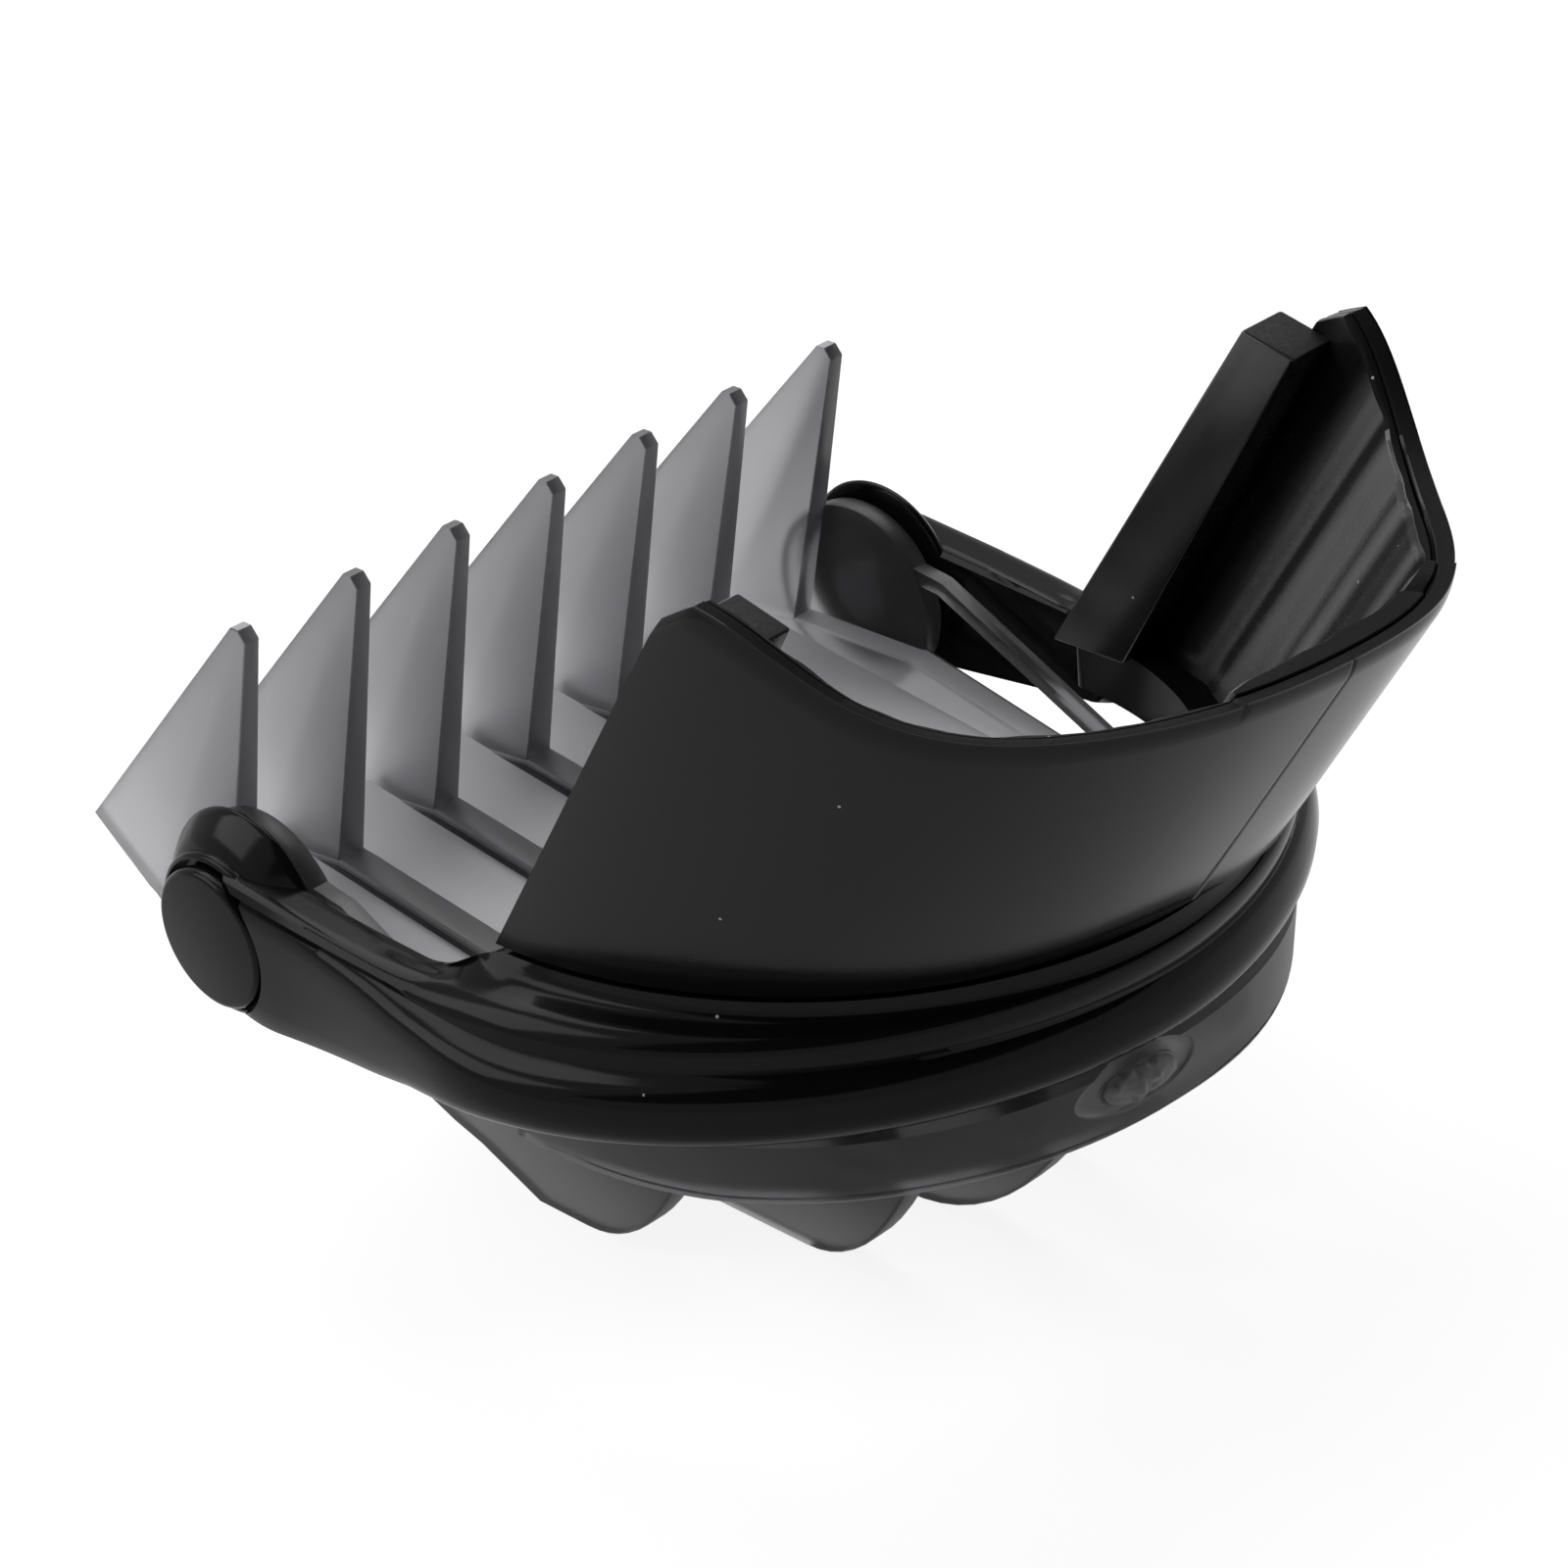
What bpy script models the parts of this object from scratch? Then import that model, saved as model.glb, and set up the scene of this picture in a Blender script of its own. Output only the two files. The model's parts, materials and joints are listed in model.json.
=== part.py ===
"""Clipper guard comb.

A half-round slide sleeve leans back from a collar. Two arms run forward from the collar to a
pivot, and a smoky seven-tooth comb swings on that pivot under the collar. The sleeve's right wall
reaches a little further forward and higher than its left wall.

Lengths are metres and angles radians. X runs across the teeth, Y from the tooth tips to the
back, Z up. Every shape is drawn about the pivot axis and its object is then placed at PIVOT.
"""
import math

import bmesh
import bpy
from mathutils import Matrix, Vector

PLAY = 0.0003  # gap left between two separate pieces that meet

# Tooth row
TOOTH_PAIRS = 3
TOOTH_PITCH = 0.0066
END_TOOTH_OFFSET = 0.0006
TOOTH_THICKNESS = 0.0019
FIN_FOOT_THICKNESS = 0.0017
FIN_TOP_THICKNESS = 0.0009
FIN_APEX_Y = 0.0007
FIN_HEIGHT = 0.0153
FIN_CHAMFER = 0.0006
FIN_FOOT_Y = -0.0037
FIN_FOOT_DROP = 0.0019
FIN_ROOT = 0.0014  # how far a fin is sunk in its tooth
TIP_REACH = 0.0145
TIP_RISE = 0.0005
CHIN_REACH = 0.0105
CHIN_DROP = 0.0025

# Tooth undersides; heels are listed from the middle tooth outward
BELLY_DEPTH = 0.0188
BELLY_FRONT_Y = 0.0050
BELLY_FLAT_Y = 0.0130
BELLY_PULL = 0.71  # share of the depth that draws the front of a belly down
BELLY_RISE = 0.1  # share of the depth left at the end of that bend
HEEL_START_Y = (0.0225, 0.0218, 0.0128)
HEEL_RUN = (0.0115, 0.0078, 0.0070)
HEEL_RISE = (0.0076, 0.0068, 0.0052)
HEEL_LIFT = (0.0, 0.0, 0.0009)
HEEL_PULL = 0.55  # share of the run before a heel turns up
HEEL_NECK = 0.0036  # from the end of a heel back to where it meets the rim's lower edge
END_TOOTH_DEPTH = 0.0066
TOOTH_TOP_DROP = 0.0042

# Floor between the teeth
FLOOR_FRONT_Y = -0.0090
FLOOR_BACK_Y = 0.0126
FLOOR_THICKNESS = 0.0012
FLOOR_STEP = 0.0008  # floor below the tooth tops

# Pivot
PIN_RADIUS = 0.0015
EAR_RADIUS = 0.0042
EAR_OUTSTAND = 0.0008
EAR_INSTAND = 0.0002
ARM_THICKNESS = 0.0030
BOSS_RADIUS = 0.0060
BOSS_FACE_RADIUS = 0.0049
BOSS_Z = 0.0006
CAP_RADIUS = 0.0038
CAP_THICKNESS = 0.0010
CAP_EDGE = 0.0003

# Thin finger behind each ear
FINGER_THICKNESS = 0.0009
FINGER_HEIGHT = 0.0009
FINGER_FRONT = (0.0022, 0.0030)
FINGER_BACK = (0.0175, -0.0022)

# Collar
COLLAR_LOWER_Z = -0.0020
COLLAR_HEIGHT = 0.0064
COLLAR_FRONT_Y = 0.0176
COLLAR_DEPTH = 0.0234
COLLAR_POWER = 1.9
COLLAR_OVERHANG = 0.0006  # collar edge outside the arms' outer faces
COLLAR_BULGE = 0.0008
SKIRT_THICKNESS = 0.0015
SKIRT_DEPTH = 0.0031
SEAT_WIDTH = 0.0034
ARM_BACK_Y = 0.0148
ARM_TOP_FRONT = 0.0040
ARM_TOP_BACK = 0.0026
ARM_LOW_FRONT = -0.0044
ARM_LOW_BACK = -0.0036
ARM_SPANS = 3
ARM_BLEND = (0.30, 0.55, 0.80)  # places between an arm's end and the collar
ARM_BLEND_POWER = 1.8
# Collar section: share of the way from the sleeve to the edge, share of the bulge, share of the height
COLLAR_PROFILE = ((0.00, 0.25, 1.00), (0.12, 0.25, 0.85), (0.50, 0.60, 0.76), (0.70, 0.70, 0.66),
                  (0.76, 0.30, 0.57), (1.00, 0.60, 0.42), (1.00, 1.00, 0.24), (1.00, 0.40, 0.05),
                  (1.00, -0.40, 0.00))
# Arm section in the same order: share of the thickness, share of the height
ARM_PROFILE = ((0.10, 0.98), (0.38, 1.00), (0.65, 1.00), (0.88, 0.97), (0.96, 0.90), (0.99, 0.70),
               (1.00, 0.30), (0.94, 0.08), (0.72, 0.00), (0.30, 0.00), (0.03, 0.06), (0.03, 0.50),
               (0.03, 0.95))

# Sleeve
SLEEVE_INSET = 0.0006  # sleeve inside the arms' inner faces
SLEEVE_FRONT_Y = 0.0181
SLEEVE_DEPTH = 0.0236
SLEEVE_POWER = 1.95
SLEEVE_LEAN = 0.58
SLEEVE_FRONT_HEIGHT = 0.0263
SLEEVE_BACK_HEIGHT = 0.0187
SLEEVE_FALL_POWER = 8.5
SLEEVE_TILT = 0.00045  # right end above the mean height, left end below it
LEFT_SETBACK = 0.0029  # left wall's front edge behind the right wall's
CORNER_DROP = 0.0015
CORNER_ANGLE = 0.06  # sweep over which each front corner is cut down
SHELL_THICKNESS = 0.0010
SHELL_EDGE = 0.0004
LINER_THICKNESS = 0.0008
LIP_DROP = 0.0004  # liner below the shell's edge beside the back land
BACK_LAND_RISE = 0.0004
BACK_LAND_ANGLE = 1.17
STEP_ANGLE = 0.02

# Guide rails
RAIL_WIDTH = 0.0030
RAIL_TOP_DEPTH = 0.0032
RAIL_FOOT_DEPTH = 0.0048
RAIL_SETBACK = 0.0004  # rail behind the right wall's front edge
RAIL_TOP_GAP = 0.0016
RAIL_TOP_FALL = 0.0008

# Rim of the comb
RIM_THICKNESS = 0.0016
RIM_POWER = 2.2
RIM_LOWER_Z = -0.0064
RIM_SIDE_TOP_Z = -0.0039
RIM_CLEARANCE = 0.0005
RIM_FLARE = 0.0012  # rim standing out below the collar's skirt
RIM_SHOULDER = 0.0005
RIM_FOOT_FLARE = 0.6  # share of the flare at the rim's lower edge
RIM_SHOULDER_FLARE = 0.5  # share of the flare at its shoulder
GATE_RADIUS = 0.0018
GATE_RISE = 0.0003
GATE_Z = -0.0043

ROUND_STEPS = 40
SWEEP_STEPS = 28
BEND_STEPS = 5
SHARP_ANGLE = 0.6

# Sizes that follow from the ones above
END_TOOTH_X = TOOTH_PAIRS * TOOTH_PITCH + END_TOOTH_OFFSET
END_TOOTH_FACE = END_TOOTH_X + TOOTH_THICKNESS / 2
EAR_FACE = END_TOOTH_FACE + EAR_OUTSTAND
ARM_INNER = EAR_FACE + PLAY
ARM_OUTER = ARM_INNER + ARM_THICKNESS
SEAT_Z = COLLAR_LOWER_Z + COLLAR_HEIGHT
LEDGE_Z = COLLAR_LOWER_Z + SKIRT_DEPTH
SLEEVE_Z = SEAT_Z + PLAY
LEAN = Vector((0.0, math.sin(SLEEVE_LEAN), math.cos(SLEEVE_LEAN)))
WALL = (ARM_INNER - SLEEVE_INSET, SLEEVE_FRONT_Y, SLEEVE_DEPTH, SLEEVE_POWER)
EDGE = (ARM_OUTER + COLLAR_OVERHANG, COLLAR_FRONT_Y, COLLAR_DEPTH, COLLAR_POWER)
RIM = (END_TOOTH_FACE + EAR_INSTAND, COLLAR_FRONT_Y,
       COLLAR_DEPTH - SKIRT_THICKNESS - RIM_CLEARANCE, RIM_POWER)
SLEEVE_BACK_Y = SLEEVE_FRONT_Y + SLEEVE_DEPTH + (SLEEVE_BACK_HEIGHT - SHELL_EDGE) * LEAN.y
PIVOT = Vector((0.0, (TIP_REACH - SLEEVE_BACK_Y) / 2, BELLY_DEPTH))
RAIL_FRONT_Y = SLEEVE_FRONT_Y + RAIL_SETBACK
RAIL_BACK_Y = RAIL_FRONT_Y + RAIL_FOOT_DEPTH
LINER_INSET = SHELL_THICKNESS + PLAY
SIDEWAYS = Matrix(((0, 0, 1, 0), (1, 0, 0, 0), (0, 1, 0, 0), (0, 0, 0, 1)))


def new_collection(name):
    collection = bpy.data.collections.new(name)
    bpy.context.scene.collection.children.link(collection)
    return collection


def new_material(name, colour, roughness, metallic):
    material = bpy.data.materials.new(name)
    material.use_nodes = True
    shader = material.node_tree.nodes["Principled BSDF"]
    shader.inputs["Base Color"].default_value = (*colour, 1.0)
    shader.inputs["Roughness"].default_value = roughness
    shader.inputs["Metallic"].default_value = metallic
    return material


def outward(mesh):
    """Merge doubled corners and turn every face outward."""
    work = bmesh.new()
    work.from_mesh(mesh)
    bmesh.ops.remove_doubles(work, verts=work.verts, dist=1e-6)
    bmesh.ops.recalc_face_normals(work, faces=work.faces)
    work.to_mesh(mesh)
    work.free()
    return mesh


def smooth(mesh):
    mesh.polygons.foreach_set("use_smooth", [True] * len(mesh.polygons))
    mesh.set_sharp_from_angle(angle=SHARP_ANGLE)
    return mesh


def piece(name, mesh, material):
    """Put a finished mesh in the scene as a named piece."""
    mesh.materials.clear()
    mesh.materials.append(material)
    item = bpy.data.objects.new(name, mesh)
    item.location = PIVOT
    parts.objects.link(item)
    return item


def combine(target, name, mesh, operation):
    """Join a mesh to the target, or cut it out, with a live Boolean."""
    mesh.materials.clear()
    mesh.materials.append(target.data.materials[0])
    tool = bpy.data.objects.new(name, mesh)
    tool.location = PIVOT
    tool.hide_render = True
    tool.display_type = "WIRE"
    tools.objects.link(tool)
    boolean = target.modifiers.new(name, "BOOLEAN")
    boolean.operation = operation
    boolean.solver = "EXACT"
    boolean.object = tool


def plate(name, outline, middle, thickness):
    """Extrude an outline of (y, z) corners across X, centred on x = middle."""
    curve = bpy.data.curves.new(name, "CURVE")
    curve.dimensions = "2D"
    curve.fill_mode = "BOTH"
    curve.extrude = thickness / 2
    spline = curve.splines.new("POLY")
    spline.points.add(len(outline) - 1)
    for point, (y, z) in zip(spline.points, outline):
        point.co = (y, z, 0.0, 1.0)
    spline.use_cyclic_u = True
    holder = bpy.data.objects.new(name, curve)
    bpy.context.scene.collection.objects.link(holder)
    graph = bpy.context.evaluated_depsgraph_get()
    mesh = bpy.data.meshes.new_from_object(holder.evaluated_get(graph))
    bpy.data.objects.remove(holder)
    bpy.data.curves.remove(curve)
    mesh.transform(Matrix.Translation((middle, 0.0, 0.0)) @ SIDEWAYS)
    return outward(mesh)


def barrel(name, radius, start, end, axis, centre=(0.0, 0.0, 0.0), end_radius=None):
    """A round bar, or a taper, between two places along X or along Y."""
    mesh = bpy.data.meshes.new(name)
    work = bmesh.new()
    bmesh.ops.create_cone(work, cap_ends=True, segments=ROUND_STEPS, radius1=radius,
                          radius2=end_radius or radius, depth=abs(end - start))
    work.to_mesh(mesh)
    work.free()
    along = Vector((1.0, 0.0, 0.0)) if axis == "X" else Vector((0.0, 1.0, 0.0))
    facing = along if end > start else -along
    turn = Vector((0.0, 0.0, 1.0)).rotation_difference(facing).to_matrix().to_4x4()
    mesh.transform(Matrix.Translation(Vector(centre) + along * (start + end) / 2) @ turn)
    return smooth(outward(mesh))


def loft(name, loops):
    """Skin a row of closed loops that have the same number of corners and cap both ends."""
    count = len(loops[0])
    corners = [corner for loop in loops for corner in loop]
    faces = [tuple(range(count)), tuple(range((len(loops) - 1) * count, len(loops) * count))]
    for row in range(len(loops) - 1):
        for i in range(count):
            j = (i + 1) % count
            faces.append((row * count + i, row * count + j,
                          (row + 1) * count + j, (row + 1) * count + i))
    mesh = bpy.data.meshes.new(name)
    mesh.from_pydata(corners, [], faces)
    return smooth(outward(mesh))


def bend(start, pull, end):
    """Points of a smooth bend from start to end, pulled toward a third point."""
    points = []
    for step in range(BEND_STEPS + 1):
        t = step / BEND_STEPS
        points.append(tuple((1 - t) ** 2 * a + 2 * t * (1 - t) * b + t * t * c
                            for a, b, c in zip(start, pull, end)))
    return points


def oval(shape, angle, inset=0.0):
    """Point of a half oval seen from above, and its outward direction."""
    half, front, depth, power = shape
    c, s = math.cos(angle), math.sin(angle)
    across = math.copysign(abs(c) ** (2 / power), c)
    back = abs(s) ** (2 / power)
    away = Vector((math.copysign(abs(across) ** (power - 1), c) / half,
                   back ** (power - 1) / depth, 0.0)).normalized()
    return Vector((half * across, front + depth * back, 0.0)) - away * inset, away


def sweep_angles():
    return [math.pi * i / SWEEP_STEPS for i in range(SWEEP_STEPS + 1)]


def sleeve_angle(y):
    """Sweep angle at which the sleeve's foot has come this far back."""
    share = (y - SLEEVE_FRONT_Y) / SLEEVE_DEPTH
    return math.asin(share ** (SLEEVE_POWER / 2))


def between(start, end, stops):
    """Sweep angles from start to end, with the stops put in and their near neighbours left out."""
    keep = [start, *stops, end]
    gap = math.pi / SWEEP_STEPS / 2
    middle = [angle for angle in sweep_angles()
              if start < angle < end and min(abs(angle - stop) for stop in keep) > gap]
    return sorted(middle + keep)


def sleeve_height(angle):
    """Height of the shell along its lean: low at the back, cut down at both front corners."""
    fall = abs(math.cos(angle)) ** SLEEVE_FALL_POWER
    height = SLEEVE_BACK_HEIGHT + (SLEEVE_FRONT_HEIGHT - SLEEVE_BACK_HEIGHT) * fall
    end = math.pi - sleeve_angle(SLEEVE_FRONT_Y + LEFT_SETBACK)
    cut = max(0.0, 1 - min(angle, end - angle) / CORNER_ANGLE)
    return height + SLEEVE_TILT * math.cos(angle) - CORNER_DROP * cut


def on_sleeve(angle, inset, height):
    point, _ = oval(WALL, angle, inset)
    return point + Vector((0.0, 0.0, SLEEVE_Z)) + LEAN * height


def sleeve_shell():
    end = math.pi - sleeve_angle(SLEEVE_FRONT_Y + LEFT_SETBACK)
    loops = []
    for angle in between(0.0, end, [CORNER_ANGLE, end - CORNER_ANGLE]):
        top = sleeve_height(angle)
        loops.append([on_sleeve(angle, 0.0, 0.0),
                      on_sleeve(angle, 0.0, top - SHELL_EDGE),
                      on_sleeve(angle, SHELL_EDGE, top),
                      on_sleeve(angle, SHELL_THICKNESS, top),
                      on_sleeve(angle, SHELL_THICKNESS, 0.0)])
    return loft("sleeve_shell", loops)


def slide_liner():
    """Inner skin from behind one rail round to the other, a little proud of the shell at the back."""
    _, away = oval(WALL, sleeve_angle(RAIL_BACK_Y))
    inner = LINER_INSET + LINER_THICKNESS
    start = sleeve_angle(RAIL_BACK_Y + 2 * PLAY + inner * away.y)
    steps = (BACK_LAND_ANGLE, math.pi - BACK_LAND_ANGLE)
    stops = [step + side * STEP_ANGLE / 2 for step in steps for side in (-1, 1)]
    loops = []
    for angle in between(start, math.pi - start, stops):
        on_land = steps[0] < angle < steps[1]
        top = sleeve_height(angle) + (BACK_LAND_RISE if on_land else -LIP_DROP)
        loops.append([on_sleeve(angle, LINER_INSET, 0.0),
                      on_sleeve(angle, LINER_INSET, top),
                      on_sleeve(angle, inner, top),
                      on_sleeve(angle, inner, 0.0)])
    return loft("slide_liner", loops)


def guide_rail(name, side):
    """Leaning block inside one front end of the sleeve, deeper at its foot than at its top."""
    slope = math.tan(SLEEVE_LEAN)
    top = SLEEVE_FRONT_HEIGHT * LEAN.z - RAIL_TOP_GAP
    outline = [(RAIL_FRONT_Y, SLEEVE_Z),
               (RAIL_FRONT_Y + top * slope, SLEEVE_Z + top),
               (RAIL_FRONT_Y + RAIL_TOP_DEPTH + top * slope, SLEEVE_Z + top - RAIL_TOP_FALL),
               (RAIL_BACK_Y, SLEEVE_Z)]
    wall, _ = oval(WALL, sleeve_angle(RAIL_BACK_Y), LINER_INSET)
    return plate(name, outline, side * (wall.x - RAIL_WIDTH / 2), RAIL_WIDTH)


def collar_loop(angle):
    """Section of the collar, from its seat over the ridge and bulge to the ledge inside."""
    wall, away = oval(WALL, angle)
    edge, _ = oval(EDGE, angle)
    loop = []
    for share, bulge, height in COLLAR_PROFILE:
        point = wall.lerp(edge, share) + away * COLLAR_BULGE * bulge
        point.z = COLLAR_LOWER_Z + COLLAR_HEIGHT * height
        loop.append(point)
    inner = wall - away * SEAT_WIDTH
    skirt = edge - away * SKIRT_THICKNESS
    loop.append(Vector((skirt.x, skirt.y, COLLAR_LOWER_Z)))
    loop.append(Vector((skirt.x, skirt.y, LEDGE_Z)))
    loop.append(Vector((inner.x, inner.y, LEDGE_Z)))
    loop.append(Vector((inner.x, inner.y, SEAT_Z)))
    return loop


def arm_loop(y):
    """Section of the right arm at one place along it, in the same order as the collar's."""
    share = y / ARM_BACK_Y
    top = ARM_TOP_FRONT + (ARM_TOP_BACK - ARM_TOP_FRONT) * share
    low = ARM_LOW_FRONT + (ARM_LOW_BACK - ARM_LOW_FRONT) * share
    return [Vector((ARM_INNER + ARM_THICKNESS * across, y, low + (top - low) * up))
            for across, up in ARM_PROFILE]


def collar_frame():
    arm = [arm_loop(ARM_BACK_Y * i / ARM_SPANS) for i in range(ARM_SPANS + 1)]
    root = collar_loop(0.0)
    for share in ARM_BLEND:
        blend = []
        for start, end in zip(arm[ARM_SPANS], root):
            point = start.lerp(end, share)
            point.z = start.z + (end.z - start.z) * share ** ARM_BLEND_POWER
            blend.append(point)
        arm.append(blend)
    left = [[Vector((-p.x, p.y, p.z)) for p in loop] for loop in reversed(arm)]
    middle = [collar_loop(angle) for angle in sweep_angles()]
    frame = piece("collar_frame", loft("collar_frame", arm + middle + left), black)
    for side, label in ((1, "right"), (-1, "left")):
        boss = barrel("boss_" + label, BOSS_RADIUS, side * ARM_INNER, side * ARM_OUTER, "X",
                      (0.0, 0.0, BOSS_Z), BOSS_FACE_RADIUS)
        combine(frame, "boss_" + label, boss, "UNION")
        floor = ARM_OUTER - CAP_THICKNESS - PLAY
        recess = barrel("recess_" + label, CAP_RADIUS + PLAY, side * floor,
                        side * (ARM_OUTER + CAP_THICKNESS), "X")
        combine(frame, "recess_" + label, recess, "DIFFERENCE")
        bore = barrel("bore_" + label, PIN_RADIUS + PLAY, side * (ARM_INNER - CAP_THICKNESS),
                      side * (floor + CAP_THICKNESS), "X")
        combine(frame, "bore_" + label, bore, "DIFFERENCE")
    return frame


def pivot_pin(name, side):
    inner = END_TOOTH_X - TOOTH_THICKNESS / 2
    outer = ARM_OUTER - CAP_THICKNESS - PLAY
    return barrel(name, PIN_RADIUS, side * inner, side * outer, "X")


def pivot_cap(name, side):
    return barrel(name, CAP_RADIUS, side * (ARM_OUTER - CAP_THICKNESS), side * ARM_OUTER, "X")


def fin_outline():
    slope = (FIN_APEX_Y - FIN_FOOT_Y) / (FIN_HEIGHT + FIN_FOOT_DROP)
    return [(-TIP_REACH, TIP_RISE),
            (FIN_APEX_Y - 2 * FIN_CHAMFER, FIN_HEIGHT),
            (FIN_APEX_Y - FIN_CHAMFER, FIN_HEIGHT),
            (FIN_APEX_Y - FIN_CHAMFER * slope, FIN_HEIGHT - FIN_CHAMFER),
            (FIN_FOOT_Y, -FIN_FOOT_DROP),
            (FIN_FOOT_Y - FIN_ROOT * slope, -FIN_FOOT_DROP - FIN_ROOT),
            (-CHIN_REACH + FIN_ROOT, -CHIN_DROP - FIN_ROOT / 2),
            (-CHIN_REACH, -CHIN_DROP)]


def fin(name, middle):
    """One fin: thick at its foot, thin at its apex."""
    mesh = plate(name, fin_outline(), middle, FIN_FOOT_THICKNESS)
    loss = (1 - FIN_TOP_THICKNESS / FIN_FOOT_THICKNESS) / (FIN_HEIGHT + FIN_FOOT_DROP)
    for corner in mesh.vertices:
        scale = 1 - loss * (corner.co.z + FIN_FOOT_DROP)
        corner.co.x = middle + (corner.co.x - middle) * scale
    return mesh


def tooth_top(y):
    slope = (TOOTH_TOP_DROP - FIN_FOOT_DROP) / (FLOOR_BACK_Y - FIN_FOOT_Y)
    return -FIN_FOOT_DROP - slope * (y - FIN_FOOT_Y)


def rim_y(x):
    """How far back the middle of the rim band lies at one place across the comb."""
    half, front, depth, power = RIM
    return front + depth * (1 - (abs(x) / half) ** power) ** (1 / power) - RIM_THICKNESS / 2


def tooth_outline(pair, x):
    """Inner tooth: chin, belly, flat underside, heel, then up to the rim and back along the top."""
    low = -BELLY_DEPTH + HEEL_LIFT[pair]
    heel = HEEL_START_Y[pair]
    run = HEEL_RUN[pair]
    flat = min(BELLY_FLAT_Y, heel - HEEL_NECK)
    front = min(BELLY_FRONT_Y, flat - HEEL_NECK)
    end = rim_y(x)
    rim_low = RIM_LOWER_Z + PLAY
    outline = bend((-CHIN_REACH, -CHIN_DROP), (-CHIN_REACH / 2, -BELLY_PULL * BELLY_DEPTH),
                   (front, low + BELLY_RISE * BELLY_DEPTH))
    outline.append((flat, low))
    outline += bend((heel, low), (heel + HEEL_PULL * run, low), (heel + run, low + HEEL_RISE[pair]))
    outline.append((min(heel + run + HEEL_NECK, end - PLAY), rim_low))
    outline += [(end, rim_low), (end, -TOOTH_TOP_DROP), (FLOOR_BACK_Y, -TOOTH_TOP_DROP),
                (FIN_FOOT_Y, -FIN_FOOT_DROP)]
    return outline


def end_tooth_outline():
    """Shallow side wall that carries the pivot ear and runs back into the rim."""
    outline = bend((-CHIN_REACH, -CHIN_DROP), (-CHIN_REACH / 2, -END_TOOTH_DEPTH),
                   (0.0, -END_TOOTH_DEPTH))
    back = COLLAR_FRONT_Y + RIM_THICKNESS
    outline += [(back, RIM_LOWER_Z + PLAY), (back, RIM_SIDE_TOP_Z - PLAY),
                (ARM_BACK_Y, RIM_SIDE_TOP_Z - PLAY),
                (BELLY_FRONT_Y, tooth_top(FIN_FOOT_Y)), (FIN_FOOT_Y, -FIN_FOOT_DROP)]
    return outline


def rim_band():
    """Band round the back: its top tucks inside the collar's skirt, the rest stands out below."""
    loops = []
    for angle in sweep_angles():
        rise = math.sin(angle)
        top = RIM_SIDE_TOP_Z + (LEDGE_Z - PLAY - RIM_SIDE_TOP_Z) * rise
        shoulder = min(COLLAR_LOWER_Z - PLAY, top - RIM_SHOULDER)
        outer, away = oval(RIM, angle)
        flare = away * RIM_FLARE * min(1.0, 2 * rise)
        inner = outer - away * RIM_THICKNESS
        section = ((outer + flare * RIM_FOOT_FLARE, RIM_LOWER_Z),
                   (outer + flare, shoulder - RIM_SHOULDER),
                   (outer + flare * RIM_SHOULDER_FLARE, shoulder), (outer, shoulder),
                   (outer, top), (inner, top), (inner, RIM_LOWER_Z))
        loops.append([Vector((point.x, point.y, z)) for point, z in section])
    return loft("rim_band", loops)


def finger(name, side):
    (y0, z0), (y1, z1) = FINGER_FRONT, FINGER_BACK
    outline = [(y0, z0 - FINGER_HEIGHT), (y1, z1 - FINGER_HEIGHT), (y1, z1), (y0, z0)]
    return plate(name, outline, side * END_TOOTH_FACE, FINGER_THICKNESS)


def comb():
    item = piece("comb", rim_band(), smoky)
    floor = [(y, tooth_top(y) - FLOOR_STEP) for y in (FLOOR_FRONT_Y, FLOOR_BACK_Y)]
    floor += [(y, z - FLOOR_THICKNESS) for y, z in reversed(floor)]
    for place in range(-TOOTH_PAIRS, TOOTH_PAIRS + 1):
        pair = abs(place)
        label = str(place + TOOTH_PAIRS + 1)
        x = place * TOOTH_PITCH
        if pair == TOOTH_PAIRS:
            x = math.copysign(END_TOOTH_X, place)
            outline = end_tooth_outline()
        else:
            outline = tooth_outline(pair, x)
        combine(item, "tooth_" + label, plate("tooth_" + label, outline, x, TOOTH_THICKNESS), "UNION")
        combine(item, "fin_" + label, fin("fin_" + label, x), "UNION")
    combine(item, "floor", plate("floor", floor, 0.0, 2 * END_TOOTH_X), "UNION")
    for side, label in ((1, "right"), (-1, "left")):
        start = END_TOOTH_X - TOOTH_THICKNESS / 2 - EAR_INSTAND
        ear = barrel("ear_" + label, EAR_RADIUS, side * start, side * EAR_FACE, "X")
        combine(item, "ear_" + label, ear, "UNION")
        combine(item, "finger_" + label, finger("finger_" + label, side), "UNION")
        bore = barrel("ear_bore_" + label, PIN_RADIUS + PLAY, side * (start - PIN_RADIUS),
                      side * (EAR_FACE + PIN_RADIUS), "X")
        combine(item, "ear_bore_" + label, bore, "DIFFERENCE")
    back = RIM[1] + RIM[2]
    gate = barrel("gate", GATE_RADIUS, back - RIM_THICKNESS / 2, back + RIM_FLARE + GATE_RISE, "Y",
                  (0.0, 0.0, GATE_Z))
    combine(item, "gate", gate, "UNION")
    return item


def round_edge(item, width):
    bevel = item.modifiers.new("edge", "BEVEL")
    bevel.width = width
    bevel.segments = 2
    bevel.limit_method = "ANGLE"
    bevel.angle_limit = SHARP_ANGLE


for stale in list(bpy.data.objects):
    bpy.data.objects.remove(stale)
parts = new_collection("clipper_guard_comb")
tools = new_collection("cutters")
black = new_material("black_plastic", (0.012, 0.012, 0.013), 0.25, 0.0)
smoky = new_material("smoky_plastic", (0.13, 0.13, 0.135), 0.22, 0.0)
steel = new_material("pin_steel", (0.60, 0.60, 0.61), 0.35, 1.0)

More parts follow.
